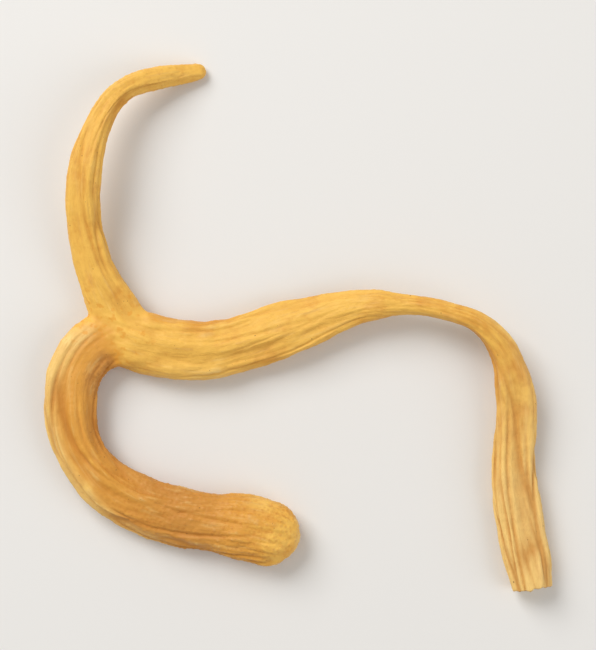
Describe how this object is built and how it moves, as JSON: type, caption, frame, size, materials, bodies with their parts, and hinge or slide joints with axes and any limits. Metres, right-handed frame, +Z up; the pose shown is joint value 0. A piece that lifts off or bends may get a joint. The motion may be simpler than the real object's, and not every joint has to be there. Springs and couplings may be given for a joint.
{
  "type": "dried cordyceps",
  "caption": "Dried golden-orange cordyceps fruiting body: a furrowed, narrow-necked stem that forks into a slender hooked branch and a broader, blunt club.",
  "frame": {"origin": "on the table, under the middle of the whole fruiting body as it lies", "axes": "+Z up from the table it lies on, +Y from the cut foot's end towards the hooked branch, +X from the fork towards the bend of the stem"},
  "size_m": [0.036, 0.0378, 0.004],
  "materials": {
    "stem_skin": "dried, golden-orange fungus skin, matte, furrowed lengthwise, paler on its ridges and at the cut foot",
    "upper_branch_skin": "dried, golden-orange fungus skin, matte, furrowed lengthwise",
    "lower_branch_skin": "dried, orange-brown fungus skin, matte, finely pimpled towards the paler blunt club"
  },
  "bodies": {
    "root": {"stem": "stem_skin", "upper_branch": "upper_branch_skin", "lower_branch": "lower_branch_skin"}
  },
  "joints": []
}
